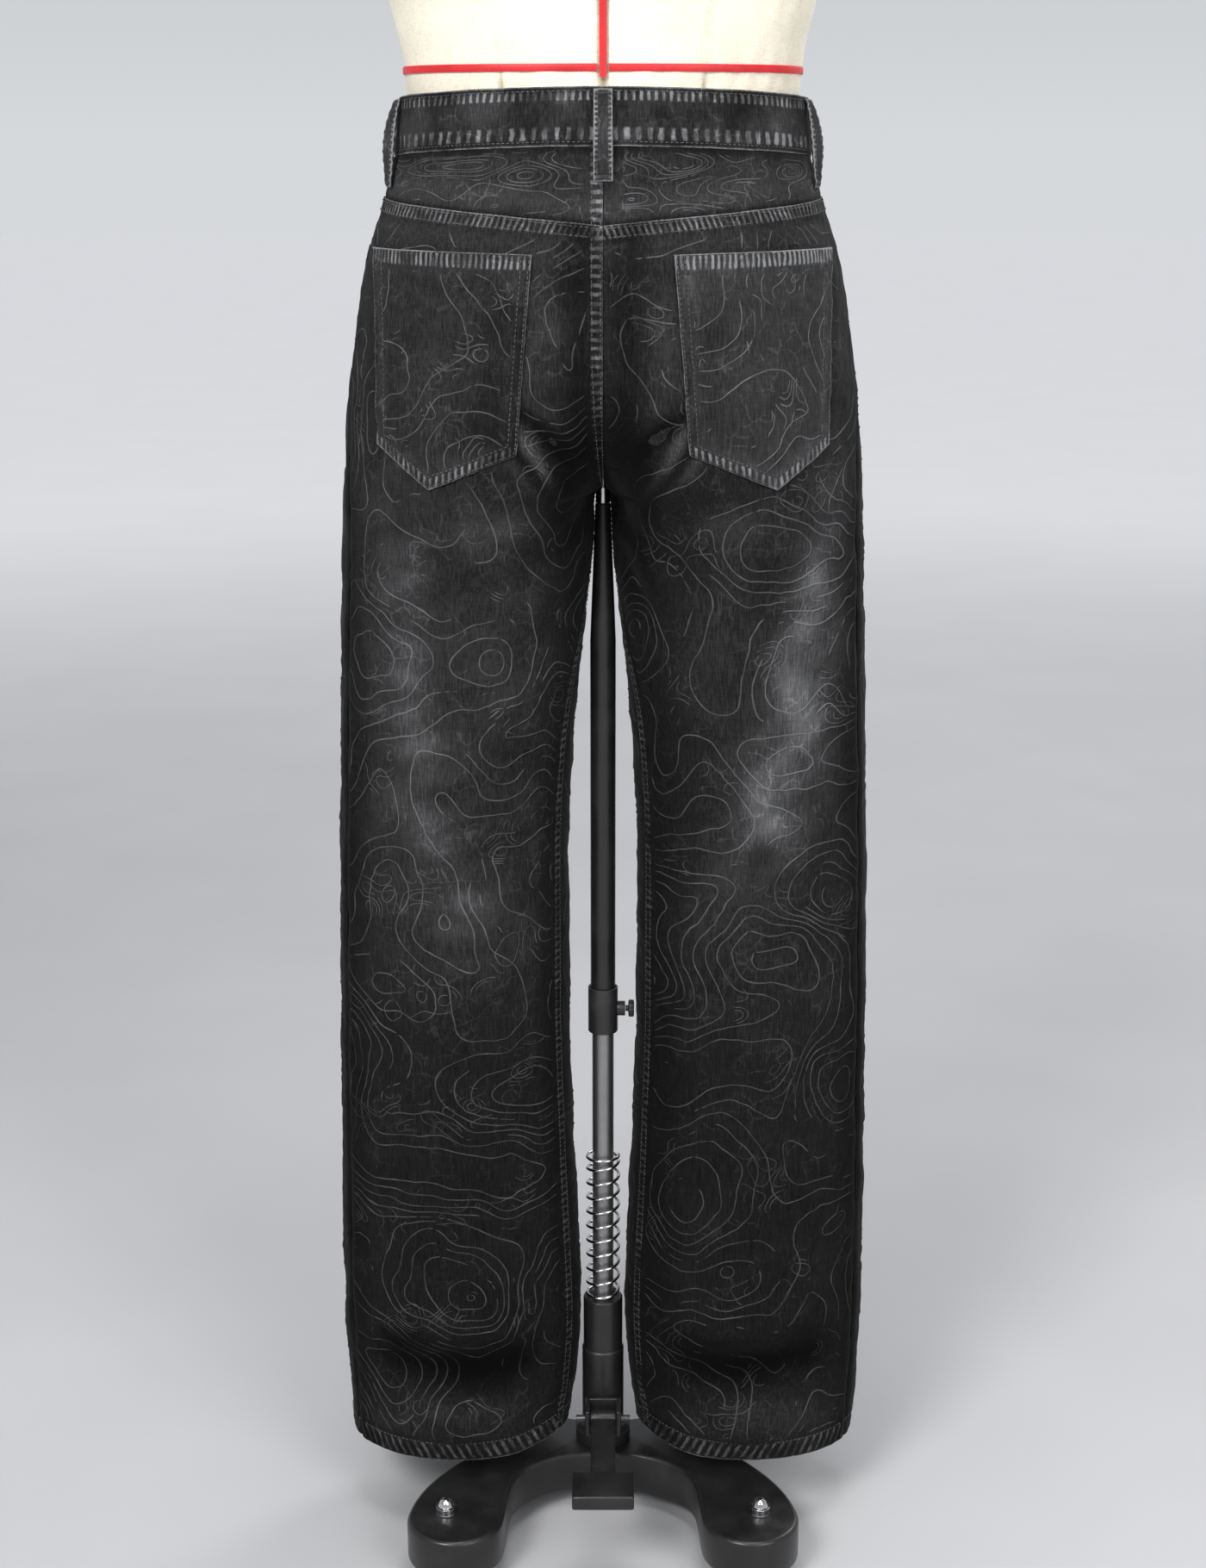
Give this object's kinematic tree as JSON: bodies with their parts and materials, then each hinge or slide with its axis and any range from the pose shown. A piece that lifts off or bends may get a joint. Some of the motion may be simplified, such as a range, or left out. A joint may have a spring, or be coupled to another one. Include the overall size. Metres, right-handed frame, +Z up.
{
  "type": "wide-leg jeans on a dress form stand",
  "caption": "Washed black denim wide-leg jeans with raised contour lines, on a cloth-covered dress form without limbs and its height-adjustable pole stand with a pedal.",
  "frame": {"origin": "on the floor below the pole, at the middle of the foot cross", "axes": "+Z up along the pole, -Y towards the back of the jeans and the pedal, -X towards the wearer's left leg"},
  "size_m": [0.432, 0.3174, 1.6553],
  "materials": {
    "denim": "matt, washed black with pale raised lines",
    "form_cloth": "matt cream canvas",
    "black_plastic": "satin black",
    "black_paint": "semi-gloss black paint",
    "cast_base": "semi-gloss black paint on cast iron",
    "bright_steel": "chromed",
    "dark_metal": "blackened, worn"
  },
  "bodies": {
    "base": {"foot_cross": "cast_base", "glide_foot_back_left": "black_plastic", "glide_foot_back_right": "black_plastic", "glide_foot_front_left": "black_plastic", "glide_foot_front_right": "black_plastic", "cap_nut_back_left": "bright_steel", "cap_nut_back_right": "bright_steel", "cap_nut_front_left": "bright_steel", "cap_nut_front_right": "bright_steel", "pole_socket": "black_paint", "lower_tube": "bright_steel", "coil_spring": "bright_steel", "pedal_bracket": "black_paint", "pedal_pin": "dark_metal"},
    "carriage": {"upper_tube": "black_paint", "clamp_collar": "black_plastic", "spigot": "bright_steel", "torso_form": "form_cloth", "neck_cap": "black_plastic", "back_leg_left": "denim", "back_leg_right": "denim", "front_leg_left": "denim", "front_leg_right": "denim", "yoke_left": "denim", "yoke_right": "denim", "back_pocket_left": "denim", "back_pocket_right": "denim", "pocket_facing_left": "denim", "pocket_facing_right": "denim", "waistband": "denim", "belt_loop_back": "denim", "belt_loop_side_left": "denim", "belt_loop_side_right": "denim", "belt_loop_front_left": "denim", "belt_loop_front_right": "denim", "fly_placket": "denim", "waist_button": "dark_metal"},
    "clamp_screw": {"thumbscrew": "black_plastic"},
    "pedal": {"foot_pedal": "black_paint"}
  },
  "joints": [
    {"name": "height_slide", "type": "slide", "parent": "base", "child": "carriage", "axis": [0, 0, 1], "range_m": [-0.005, 0.15]},
    {"name": "clamp_screw_turn", "type": "hinge", "parent": "carriage", "child": "clamp_screw", "pos_m": [0, 0, 0.441], "axis": [1, 0, 0], "range_deg": [0, 180]},
    {"name": "pedal_press", "type": "hinge", "parent": "base", "child": "pedal", "pos_m": [0, -0.034, 0.087], "axis": [1, 0, 0], "range_deg": [0, 14], "stiffness_Nm_per_rad": 1, "springref_deg": -20.05}
  ]
}
